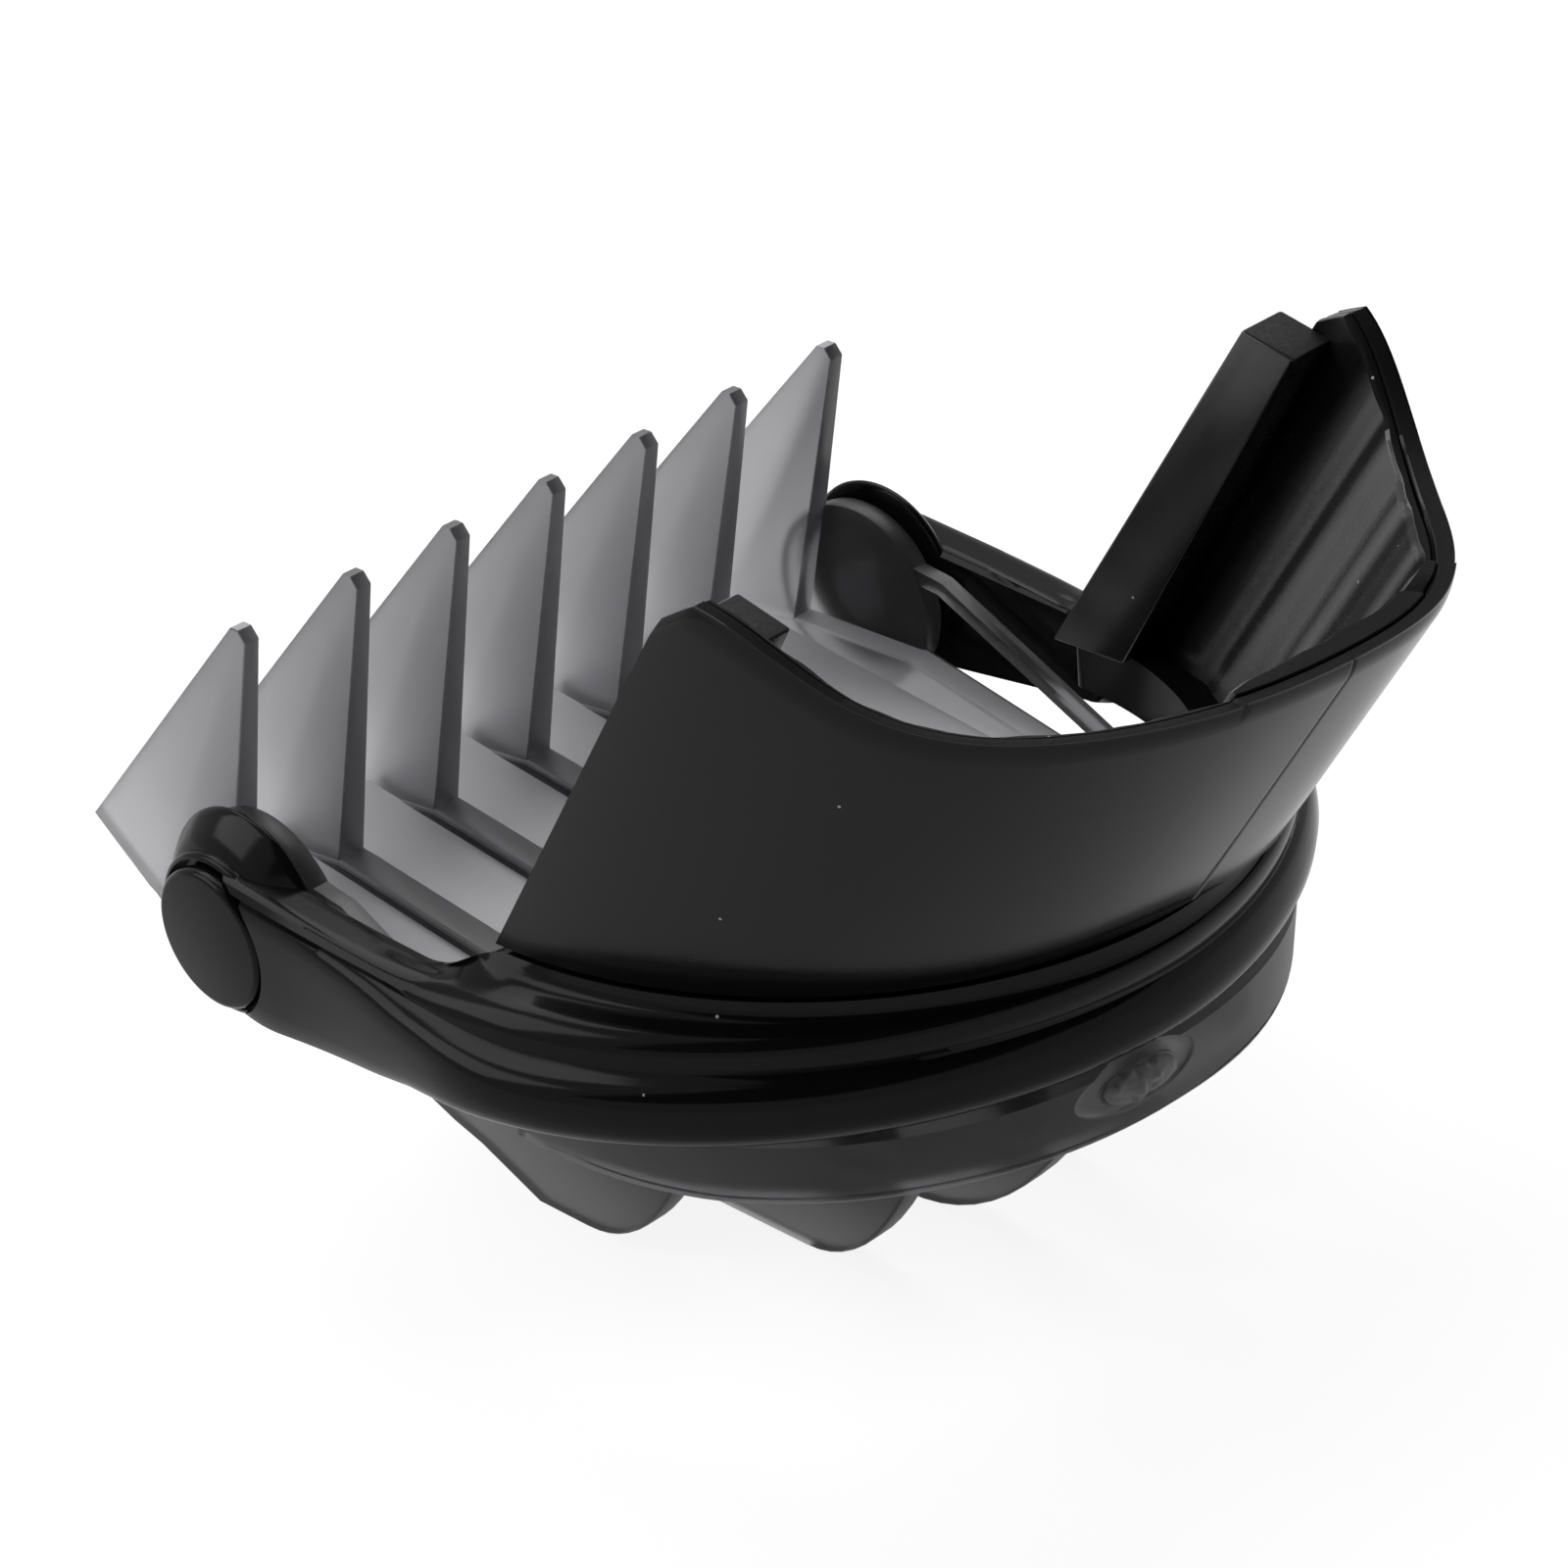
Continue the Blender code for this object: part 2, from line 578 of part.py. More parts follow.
piece("sleeve_shell", sleeve_shell(), black)
piece("slide_liner", slide_liner(), black)
collar_frame()
comb()
for hand, name in ((1, "right"), (-1, "left")):
    piece("guide_rail_" + name, guide_rail("guide_rail_" + name, hand), black)
    piece("pivot_pin_" + name, pivot_pin("pivot_pin_" + name, hand), steel)
    round_edge(piece("pivot_cap_" + name, pivot_cap("pivot_cap_" + name, hand), black), CAP_EDGE)
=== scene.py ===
"""Looks of the clipper guard comb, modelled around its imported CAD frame.

Shapes are drawn about the pivot axis: X across the teeth, Y from the tooth tips to the back, Z up.
Lengths are metres and angles radians.
"""

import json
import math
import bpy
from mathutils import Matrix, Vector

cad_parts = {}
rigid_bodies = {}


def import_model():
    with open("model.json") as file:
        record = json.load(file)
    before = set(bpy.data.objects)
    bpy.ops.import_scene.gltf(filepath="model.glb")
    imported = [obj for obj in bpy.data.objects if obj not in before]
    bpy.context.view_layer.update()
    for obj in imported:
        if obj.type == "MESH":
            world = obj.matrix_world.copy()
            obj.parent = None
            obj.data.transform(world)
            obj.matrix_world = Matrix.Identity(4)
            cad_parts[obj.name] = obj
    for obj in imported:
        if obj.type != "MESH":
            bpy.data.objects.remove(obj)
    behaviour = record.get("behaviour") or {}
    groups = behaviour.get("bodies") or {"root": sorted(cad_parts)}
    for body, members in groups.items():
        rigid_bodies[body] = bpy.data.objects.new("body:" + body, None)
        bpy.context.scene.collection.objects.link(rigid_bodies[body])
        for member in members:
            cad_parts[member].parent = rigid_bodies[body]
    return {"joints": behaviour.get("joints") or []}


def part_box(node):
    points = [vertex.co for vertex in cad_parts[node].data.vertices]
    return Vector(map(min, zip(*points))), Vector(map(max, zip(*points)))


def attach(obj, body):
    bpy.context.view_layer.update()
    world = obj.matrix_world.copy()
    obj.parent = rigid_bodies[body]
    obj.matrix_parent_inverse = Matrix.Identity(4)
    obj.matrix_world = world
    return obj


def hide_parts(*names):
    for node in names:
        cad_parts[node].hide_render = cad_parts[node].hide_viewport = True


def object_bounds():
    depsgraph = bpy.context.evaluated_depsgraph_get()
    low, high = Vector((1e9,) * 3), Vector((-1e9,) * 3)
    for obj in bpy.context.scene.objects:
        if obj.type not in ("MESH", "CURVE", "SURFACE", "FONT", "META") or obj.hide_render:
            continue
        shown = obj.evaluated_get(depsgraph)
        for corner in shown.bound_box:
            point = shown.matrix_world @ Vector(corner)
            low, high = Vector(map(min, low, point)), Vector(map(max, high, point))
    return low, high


bl_info = {
    "name": "Clipper guard comb",
    "version": (1, 0, 0),
    "blender": (4, 5, 0),
    "location": "View3D > Sidebar > Guard comb",
    "description": "Models the guard comb's mouldings, their finishes and a plain studio",
    "category": "Object",
}

import bmesh
import bpy
from bpy.props import FloatProperty, FloatVectorProperty, IntProperty, PointerProperty
from mathutils import Matrix, Vector

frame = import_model()
CAD_BOX = [list(corner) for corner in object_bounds()]
HINGE = frame["joints"][0]
PIVOT = Vector(HINGE["pos_m"])
CARRIER = HINGE["parent"]
COMB = HINGE["child"]
RAIL_LOW, RAIL_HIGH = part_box("guide_rail_right")
CAP_LOW, CAP_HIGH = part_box("pivot_cap_right")
PIN_LOW, PIN_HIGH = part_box("pivot_pin_right")


def length(name, description, default):
    return FloatProperty(name=name, description=description, default=default, unit="LENGTH",
                         precision=5)


def share(name, description, default):
    return FloatProperty(name=name, description=description, default=default)


def colour(name, description, default):
    return FloatVectorProperty(name=name, description=description, default=default,
                               subtype="COLOR", size=3, min=0.0, max=1.0)


class SleeveSettings(bpy.types.PropertyGroup):
    """Sizes of the leaning half-round sleeve, its liner and its rails."""
    half: length("Half width", "Half of the sleeve's width across its front", 0.02185)
    front: length("Front", "Front edge of the right wall's foot behind the pivot", 0.0181)
    depth: length("Depth", "From the front edge to the back of the foot", 0.0233)
    power: share("Roundness", "Power of the oval that the foot follows", 1.95)
    foot: length("Foot", "Height of the sleeve's foot above the pivot", 0.0047)
    lean: FloatProperty(name="Lean", description="Backward lean of the sleeve", default=0.58,
                        unit="ROTATION")
    high: length("Front height", "Height along the lean at the front ends", 0.0263)
    low: length("Back height", "Height along the lean at the back", 0.0187)
    fall: share("Fall", "How fast the edge falls away from the front ends", 8.5)
    tilt: length("Tilt", "Right end above and left end below the mean height", 0.00045)
    left_rise: length("Left rise", "Extra height of the left front end", 0.0006)
    swell: length("Swell", "How far the wall swells out on the left of the back", 0.0012)
    swell_angle: share("Swell place", "Sweep angle where the wall swells most", 1.96)
    swell_back: share("Swell toward the back", "Sweep angle over which it dies away there", 0.28)
    swell_left: share("Swell toward the left", "Sweep angle over which it dies away there", 0.42)
    setback: length("Left setback", "Left wall's front edge behind the right one's", 0.0029)
    drop: length("Corner drop", "How far each front corner is cut down", 0.0015)
    corner: share("Corner sweep", "Sweep angle over which a corner is cut down", 0.06)
    wall: length("Wall", "Thickness of the outer shell", 0.00115)
    gap: length("Seam", "Gap between shell and liner", 0.00006)
    lining: length("Lining", "Thickness of the liner", 0.00052)
    lip: length("Lip", "Liner below the shell's edge beside the back land", 0.00015)
    land: length("Land", "Liner above the shell's edge at the back", 0.0001)
    land_swell: length("Land swell", "How far the land stands in from the liner", 0.0009)
    land_height: length("Land height", "Height over which the land runs out into the liner", 0.0024)
    slope: length("Edge slope", "Fall of the sleeve's edge toward its inside", 0.0001)
    step: length("Step", "Shell's edge beside the land below its edge at the land", 0.0002)
    land_start: share("Land start", "Sweep angle where the back land starts", 1.30)
    land_end: share("Land end", "Sweep angle where the back land ends", 2.08)
    crown: length("Crown", "How far the shell draws in toward its edge", 0.0003)
    crown_height: length("Crown height", "Height over which the shell draws in", 0.0014)
    flash: length("Flash", "Fine raised line along the shell's edge", 0.00005)
    parting: share("Parting line", "Sweep angle of the parting line down the back", 1.60)
    groove: length("Parting groove", "Depth of the parting line", 0.00006)
    wave: length("Waves", "Height of the faint waves on the liner", 0.00005)
    nick: length("Nick", "Depth of the nick in the liner's edge", 0.0006)
    nick_angle: share("Nick place", "Sweep angle of the nick", 1.97)
    steps: IntProperty(name="Steps", description="Faces round the sweep", default=120)


class CollarSettings(bpy.types.PropertyGroup):
    """Sizes of the collar, its arms and the pivot pieces."""
    half: length("Half width", "Half of the collar's width at its edge", 0.02605)
    front: length("Front", "Where the arms run into the collar", 0.0176)
    depth: length("Depth", "From there to the back of the collar", 0.0234)
    power: share("Roundness", "Power of the oval that the edge follows", 1.9)
    low: length("Lower edge", "Height of the collar's lower edge", -0.0020)
    tall: length("Height", "From the lower edge to the seat", 0.0064)
    bulge: length("Bulge", "How far the edge swells", 0.0008)
    skirt: length("Skirt", "Thickness of the skirt below the ledge", 0.0015)
    ledge: length("Ledge", "Height of the ledge over the comb's rim", 0.0011)
    seat: length("Seat", "Width of the seat inside the sleeve", 0.0034)
    arm_in: length("Arm inner face", "Inner face of an arm from the middle", 0.02245)
    arm_thick: length("Arm thickness", "Thickness of an arm", 0.0030)
    arm_end: length("Arm end", "Where an arm starts to turn into the collar", 0.0148)
    top_front: length("Arm top", "Arm's top at the pivot", 0.0040)
    top_back: length("Arm top, back", "Arm's top at its back end", 0.0026)
    low_front: length("Arm underside", "Arm's underside at the pivot", -0.0045)
    low_back: length("Arm underside, back", "Arm's underside at its back end", -0.0028)
    tuck: length("Tuck", "How far the boss's face is set in behind its cap", 0.0009)
    boss: length("Boss", "Radius of the boss at its root", 0.0059)
    boss_face: length("Boss face", "Radius of the boss at its face", 0.0043)
    boss_up: length("Boss rise", "Height of the boss's root above the pivot", 0.0009)
    boss_back: length("Boss setback", "Boss's root behind the pivot", 0.0004)
    steps: IntProperty(name="Steps", description="Sections round half of the collar", default=80)


class CombSettings(bpy.types.PropertyGroup):
    """Sizes of the smoky comb."""
    pitch: length("Pitch", "Distance between inner teeth", 0.0066)
    end: length("End tooth", "End tooth from the middle", 0.0204)
    tooth: length("Tooth", "Thickness of a tooth", 0.0019)
    fin_foot: length("Fin foot", "Thickness of a fin at its foot", 0.0017)
    fin_top: length("Fin top", "Thickness of a fin at its apex", 0.0009)
    floor: length("Floor", "Thickness of the floor between teeth", 0.0012)
    rim: length("Rim", "Thickness of the rim", 0.0016)
    rim_half: length("Rim half width", "Half of the rim's width", 0.02155)
    rim_front: length("Rim front", "Where the rim starts behind the pivot", 0.0176)
    rim_depth: length("Rim depth", "From there to the back of the rim", 0.0214)
    rim_power: share("Rim roundness", "Power of the oval that the rim follows", 2.2)
    ear: length("Ear", "Radius of a pivot ear", 0.0054)
    bore: length("Bore", "Radius of the hole in an ear", 0.0018)
    edge: length("Edge", "Rounding of the teeth's edges", 0.00035)


class FinishSettings(bpy.types.PropertyGroup):
    """Colours of the finishes."""
    black: colour("Black plastic", "Colour of the sleeve, collar and caps", (0.005, 0.005, 0.0055))
    smoke: colour("Smoke", "Tint of the comb's plastic", (0.30, 0.30, 0.32))
    density: share("Smoke density", "How fast the comb's plastic darkens with depth", 430.0)
    steel: colour("Steel", "Colour of the pivot pins", (0.55, 0.55, 0.56))
    floor: colour("Floor", "Colour of the studio floor", (0.90, 0.90, 0.90))


class GuardSettings(bpy.types.PropertyGroup):
    """All settings of the guard comb."""
    sleeve: PointerProperty(type=SleeveSettings)
    collar: PointerProperty(type=CollarSettings)
    comb: PointerProperty(type=CombSettings)
    finish: PointerProperty(type=FinishSettings)


def settings():
    return bpy.context.scene.guard_comb


class Flow:
    """A shader socket that grows Math nodes when it is used in an expression."""

    def __init__(self, tree, socket=None):
        self.tree = tree
        self.socket = socket

    def add(self, kind, setup=None, inputs=None, output=0):
        """Add a node: its settings first, then the values or links of its sockets."""
        node = self.tree.nodes.new(kind)
        for key, value in (setup or {}).items():
            if key == "stops":
                while len(node.color_ramp.elements) < len(value):
                    node.color_ramp.elements.new(0.5)
                for stop, (place, tone) in zip(node.color_ramp.elements, value):
                    stop.position = place
                    stop.color = (tone, tone, tone, 1.0)
            else:
                setattr(node, key, value)
        for key, value in (inputs or {}).items():
            if isinstance(value, Flow):
                self.tree.links.new(value.socket, node.inputs[key])
            else:
                node.inputs[key].default_value = value
        return Flow(self.tree, node.outputs[output] if node.outputs else None)

    def maths(self, operation, first, second):
        return self.add("ShaderNodeMath", {"operation": operation}, {0: first, 1: second})

    def __add__(self, other):
        return self.maths("ADD", self, other)

    def __radd__(self, other):
        return self.maths("ADD", other, self)

    def __sub__(self, other):
        return self.maths("SUBTRACT", self, other)

    def __rsub__(self, other):
        return self.maths("SUBTRACT", other, self)

    def __mul__(self, other):
        return self.maths("MULTIPLY", self, other)

    def __rmul__(self, other):
        return self.maths("MULTIPLY", other, self)


def blank_material(name):
    material = bpy.data.materials.new(name)
    material.use_nodes = True
    material.node_tree.nodes.clear()
    return material, Flow(material.node_tree)


def noise(flow, place, scale, detail=2.0):
    return flow.add("ShaderNodeTexNoise", {}, {"Vector": place, "Scale": scale, "Detail": detail})


def black_plastic(name, roughness, grain, gloss, streaks=0.0):
    """Moulded black plastic: a soft gloss with faint unevenness, a matte grain or drawn streaks."""
    material, flow = blank_material(name)
    place = flow.add("ShaderNodeTexCoord", output=3)
    cloud = noise(flow, place, 120.0)
    fine = noise(flow, place, 4200.0, 3.0)
    rough = roughness + (cloud - 0.5) * 0.08 + (fine - 0.5) * (0.05 + grain * 0.3)
    if streaks:
        drawn = flow.add("ShaderNodeMapping", {"vector_type": "TEXTURE"}, {
            "Vector": place, "Rotation": (-settings().sleeve.lean, 0.0, 0.0),
            "Scale": (1.0, 1.0, 40.0)})
        rough = rough + (noise(flow, drawn, 420.0, 3.0) - 0.5) * streaks
    bump = flow.add("ShaderNodeBump", {}, {"Strength": 0.02 + 0.15 * grain, "Distance": 0.0001,
                                           "Height": fine})
    spots = flow.add("ShaderNodeTexVoronoi", {}, {"Vector": place, "Scale": 270.0})
    dust = flow.maths("LESS_THAN", spots, 0.022)
    tone = flow.add("ShaderNodeMix", {"data_type": "RGBA"}, {
        "Factor": dust, 6: (*settings().finish.black, 1.0), 7: (0.42, 0.42, 0.43, 1.0)}, 2)
    shader = flow.add("ShaderNodeBsdfPrincipled", {}, {
        "Base Color": tone, "Roughness": rough,
        "Specular IOR Level": gloss, "Normal": bump})
    flow.add("ShaderNodeOutputMaterial", {}, {"Surface": shader})
    return material


def smoky_plastic():
    """See-through smoky plastic that darkens with the depth of plastic behind its surface; per-face
    attributes also tone faces dark as painted shade and lay a pale layer on them as painted light.
    """
    material, flow = blank_material("smoke_with_painted_light")
    finish = settings().finish
    place = flow.add("ShaderNodeTexCoord", output=3)
    cloud = noise(flow, place, 160.0)
    # Per-face clear share: low values tone the face dark, painted shade; higher values make it a little
    # rougher, a real frost.
    clear = flow.add("ShaderNodeAttribute", {"attribute_name": "clear"}, output=2)
    painted_shade_tint = 0.21 + clear * 0.77
    shader = flow.add("ShaderNodeBsdfPrincipled", {}, {
        "Base Color": flow.add("ShaderNodeCombineColor", {}, {0: painted_shade_tint, 1: painted_shade_tint, 2: painted_shade_tint * 1.02}),
        "Roughness": 0.38 + clear * 0.14 + (cloud - 0.5) * 0.06,
        "IOR": 1.5, "Transmission Weight": 1.0})
    # Pale layer mixed in by a per-face share: a little real frosting and mostly painted light, strongest
    # on the floor plates lit from below by the white floor.
    haze_and_painted_light = flow.add("ShaderNodeBsdfPrincipled", {}, {
        "Base Color": (0.72, 0.72, 0.74, 1.0), "Roughness": 0.5, "Specular IOR Level": 0.2})
    veil = flow.add("ShaderNodeAttribute", {"attribute_name": "veil"}, output=2)
    shader = flow.add("ShaderNodeMixShader", {}, {0: veil, 1: shader, 2: haze_and_painted_light})
    depth = flow.add("ShaderNodeVolumeAbsorption", {}, {"Color": (*finish.smoke, 1.0),
                                                        "Density": finish.density})
    flow.add("ShaderNodeOutputMaterial", {}, {"Surface": shader, "Volume": depth})
    return material


def pin_steel():
    material, flow = blank_material("plain_steel")
    place = flow.add("ShaderNodeTexCoord", output=3)
    brush = noise(flow, place, 900.0)
    shader = flow.add("ShaderNodeBsdfPrincipled", {}, {
        "Base Color": (*settings().finish.steel, 1.0), "Metallic": 1.0,
        "Roughness": 0.3 + (brush - 0.5) * 0.12})
    flow.add("ShaderNodeOutputMaterial", {}, {"Surface": shader})
    return material


def finish_of(name):
    """One material by name, made the first time that it is asked for."""
    made = bpy.data.materials.get(name)
    if made:
        return made
    makers = {"gloss_black": lambda: black_plastic("gloss_black", 0.14, 0.0, 0.185),
              "soft_black": lambda: black_plastic("soft_black", 0.14, 0.0, 0.12),
              "satin_black": lambda: black_plastic("satin_black", 0.25, 0.1, 0.7, 0.3),
              "grained_black": lambda: black_plastic("grained_black", 0.5, 1.0, 0.16),
              "dull_black": lambda: black_plastic("dull_black", 0.6, 0.6, 0.07),
              "smoke_with_painted_light": smoky_plastic,
              "plain_steel": pin_steel}
    return makers[name]()


def alone(item):
    """Make one object the only selected and active one."""
    bpy.ops.object.select_all(action="DESELECT")
    item.select_set(True)
    bpy.context.view_layer.objects.active = item


def new_grid(name, columns, rows):
    """A flat grid primitive with that many corners each way."""
    bpy.ops.object.select_all(action="DESELECT")
    bpy.ops.mesh.primitive_grid_add(x_subdivisions=columns - 1, y_subdivisions=rows - 1, size=1.0)
    item = bpy.context.object
    item.name = name
    return item


def place_corners(item, corners):
    flat = [value for corner in corners for value in corner]
    item.data.vertices.foreach_set("co", flat)
    item.data.update()


def tidy_faces(item, close=False):
    """Merge doubled corners, close open ends if asked, and turn the faces outward."""
    alone(item)
    bpy.ops.object.mode_set(mode="EDIT")
    bpy.ops.mesh.select_all(action="SELECT")
    bpy.ops.mesh.remove_doubles(threshold=1e-6)
    if close:
        bpy.ops.mesh.fill_holes(sides=0)
        bpy.ops.mesh.select_all(action="SELECT")
        bpy.ops.mesh.normals_make_consistent(inside=False)
    bpy.ops.object.mode_set(mode="OBJECT")


def modify(item, kind, **values):
    """Add a modifier, set it up and apply it."""
    alone(item)
    modifier = item.modifiers.new(kind.lower(), kind)
    for key, value in values.items():
        setattr(modifier, key, value)
    bpy.ops.object.modifier_apply(modifier=modifier.name)


def round_edges(item, width, segments=3, angle=0.6):
    modify(item, "BEVEL", width=width, segments=segments, limit_method="ANGLE", angle_limit=angle)


def combine(item, tools, operation):
    """Join tools to the item or cut them out of it, and remove them."""
    group = bpy.data.collections.new("tools")
    bpy.context.scene.collection.children.link(group)
    for tool in tools:
        group.objects.link(tool)
    modify(item, "BOOLEAN", operation=operation, operand_type="COLLECTION", collection=group,
           solver="EXACT")
    for tool in tools:
        bpy.data.objects.remove(tool)
    bpy.data.collections.remove(group)


def slab(name, outline, start, end):
    """A flat outline of (y, z) corners, extruded along X from start to end."""
    bpy.ops.object.select_all(action="DESELECT")
    bpy.ops.mesh.primitive_circle_add(vertices=len(outline), fill_type="NGON")
    item = bpy.context.object
    item.name = name
    place_corners(item, [(start, y, z) for y, z in outline])
    bpy.ops.object.mode_set(mode="EDIT")
    bpy.ops.mesh.select_all(action="SELECT")
    bpy.ops.mesh.extrude_region_move(TRANSFORM_OT_translate={"value": (end - start, 0.0, 0.0)})
    bpy.ops.mesh.select_all(action="SELECT")
    bpy.ops.mesh.normals_make_consistent(inside=False)
    bpy.ops.object.mode_set(mode="OBJECT")
    return item


def bar(name, radius, start, end, along="X", centre=(0.0, 0.0, 0.0), end_radius=None, steps=64):
    """A round bar or taper between two places along X or Y."""
    turn = {"X": (0.0, math.pi / 2, 0.0), "Y": (-math.pi / 2, 0.0, 0.0)}[along]
    middle = Vector(centre)
    middle["XYZ".index(along)] += (start + end) / 2
    first, last = radius, end_radius or radius
    if end < start:
        first, last = last, first
    bpy.ops.object.select_all(action="DESELECT")
    bpy.ops.mesh.primitive_cone_add(vertices=steps, radius1=first, radius2=last,
                                    depth=abs(end - start), location=middle, rotation=turn)
    item = bpy.context.object
    item.name = name
    bpy.ops.object.transform_apply(location=True, rotation=True, scale=True)
    return item


def hand_over(item, name, body, finish, nodes, sharp=0.6):
    """Put a finished piece in its place, on its body and in its finish."""
    item.name = name
    item.data.name = name
    item.data.transform(Matrix.Translation(PIVOT))
    alone(item)
    bpy.ops.object.shade_smooth_by_angle(angle=sharp)
    item.data.materials.clear()
    item.data.materials.append(finish_of(finish))
    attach(item, body)
    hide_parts(*nodes)
    return item


def oval(half, front, depth, power, angle, inset=0.0):
    """Point of a half oval seen from above, and its outward direction."""
    c, s = math.cos(angle), math.sin(angle)
    across = math.copysign(abs(c) ** (2 / power), c)
    back = abs(s) ** (2 / power)
    away = Vector((math.copysign(abs(across) ** (power - 1), c) / half,
                   back ** (power - 1) / depth, 0.0)).normalized()
    return Vector((half * across, front + depth * back, 0.0)) - away * inset, away


def spread(start, end, count):
    return [start + (end - start) * i / (count - 1) for i in range(count)]


def sleeve_angle(y):
    size = settings().sleeve
    return math.asin(((y - size.front) / size.depth) ** (size.power / 2))


def sleeve_end():
    size = settings().sleeve
    return math.pi - sleeve_angle(size.front + size.setback)


def sleeve_height(angle):
    size = settings().sleeve
    height = size.low + (size.high - size.low) * abs(math.cos(angle)) ** size.fall
    cut = max(0.0, 1 - min(angle, sleeve_end() - angle) / size.corner)
    height += size.left_rise * max(0.0, -math.cos(angle)) ** size.fall
    return height + size.tilt * math.cos(angle) - size.drop * cut


def on_sleeve(angle, inset, height):
    size = settings().sleeve
    width = size.swell_back if angle < size.swell_angle else size.swell_left
    swell = size.swell * math.exp(-((angle - size.swell_angle) / width) ** 2)
    point, _ = oval(size.half, size.front, size.depth, size.power, angle, inset - swell)
    lean = Vector((0.0, math.sin(size.lean), math.cos(size.lean)))
    return point + Vector((0.0, 0.0, size.foot)) + lean * height


def sweep(name, loops):
    """A closed skin through a row of closed sections: a grid, joined up and filled at its ends."""
    count = len(loops[0])
    item = new_grid(name, count + 1, len(loops))
    place_corners(item, [loop[i % count] for loop in loops for i in range(count + 1)])
    tidy_faces(item, close=True)
    return item


def sleeve_angles(finer):
    """Sweep angles from end to end, closer together at the ends and at the given places."""
    size = settings().sleeve
    end = sleeve_end()
    angles = spread(0.0, size.corner, 6)[:-1] + spread(size.corner, end - size.corner, size.steps)
    angles += spread(end - size.corner, end, 6)[1:]
    return sorted(angles + [place + shift for place in finer for shift in (-0.005, 0.0, 0.005)])


def on_land(angle):
    size = settings().sleeve
    return size.land_start < angle < size.land_end


def seat_height():
    """Height of the collar's seat, which the liner and the rails stand on."""
    size = settings().collar
    return size.low + size.tall


def edge_falls(angle):
    """Share of the edge's steps and slopes: none on the back land or toward the left front end."""
    return 0.0 if on_land(angle) else 1 - ease(angle, 2.30, 2.65)


def shell_section(angle):
    """Shell: straight outside, crowned toward its edge, a fine flash line, then straight inside."""
    size = settings().sleeve
    top = sleeve_height(angle) - size.step * edge_falls(angle)
    fall = size.slope / 2 * edge_falls(angle)
    groove = size.groove * max(0.0, 1 - abs(angle - size.parting) / 0.005)
    points = [(groove, height) for height in spread(0.0, top - size.crown_height, 9)]
    for part in spread(0.0, 1.0, 9)[1:]:
        points.append((size.crown * part ** 2 + groove, top - size.crown_height * (1 - part)))
    crown, flash = size.crown, size.flash
    points += [(crown, top + flash), (crown + flash, top + flash), (crown + flash, top),
               (size.wall - 0.0001, top - fall), (size.wall, top - fall - 0.0001),
               (size.wall, top / 2),
               (size.wall, 0.0)]
    return [on_sleeve(angle, inset, height) for inset, height in points]


def liner_section(angle):
    """Liner: close behind the shell, its inner face drawn in faint waves."""
    size = settings().sleeve
    falls = edge_falls(angle)
    top = sleeve_height(angle) + (size.land if on_land(angle) else 0.0)
    top -= (size.step + size.lip + size.slope / 2) * falls
    fall = size.slope * falls
    along = (angle - size.land_start) / (size.land_end - size.land_start)
    swell = size.land_swell * math.sin(math.pi * min(1.0, max(0.0, along))) ** 0.6
    top -= size.nick * max(0.0, 1 - abs(angle - size.nick_angle) / 0.04)
    outer = size.wall + size.gap
    wave = math.sin(23 * angle) + 0.8 * math.sin(37 * angle + 1.0) + 0.5 * math.sin(61 * angle)
    inner = outer + size.lining + size.wave * wave
    foot = (seat_height() - size.foot) / math.cos(size.lean)
    points = [(outer, foot), (outer, top / 2), (outer, top - 0.0001), (outer + 0.0001, top),
              (inner + swell - 0.00015, top - fall), (inner + swell, top - fall - 0.00015)]
    low = top - size.land_height
    for height in spread(top - 0.0007, low, 5) + spread(low, foot, 8)[1:]:
        points.append((inner + swell * ease(height, low, top - 0.0007), height))
    return [on_sleeve(angle, inset, height) for inset, height in points]


def paint_tops(item, finish):
    """Give the faces that look along the sleeve's lean their own finish, apart from the flash."""
    size = settings().sleeve
    lean = Vector((0.0, math.sin(size.lean), math.cos(size.lean)))
    item.data.materials.append(finish_of(finish))
    corners = item.data.vertices
    for face in item.data.polygons:
        narrow = min((corners[a].co - corners[b].co).length for a, b in face.edge_keys)
        if face.normal.dot(lean) > 0.6 and narrow > 1.5 * size.flash:
            face.material_index = 1


class GUARD_OT_sleeve(bpy.types.Operator):
    """Model the outer shell of the sleeve"""
    bl_idname = "guard.sleeve"
    bl_label = "Sleeve shell"

    def execute(self, context):
        size = settings().sleeve
        finer = (size.land_start, size.land_end, size.parting)
        shell = sweep("sleeve", [shell_section(angle) for angle in sleeve_angles(finer)])
        hand_over(shell, "sleeve_outer", CARRIER, "gloss_black", ["sleeve_shell"])
        paint_tops(shell, "dull_black")
        return {"FINISHED"}


class GUARD_OT_liner(bpy.types.Operator):
    """Model the inner skin of the sleeve with its proud land at the back"""
    bl_idname = "guard.liner"
    bl_label = "Slide liner"

    def execute(self, context):
        size = settings().sleeve
        finer = (size.land_start, size.land_end, size.nick_angle)
        liner = sweep("liner", [liner_section(angle) for angle in sleeve_angles(finer)])
        hand_over(liner, "sleeve_inner", CARRIER, "satin_black", ["slide_liner"])
        paint_tops(liner, "dull_black")
        return {"FINISHED"}


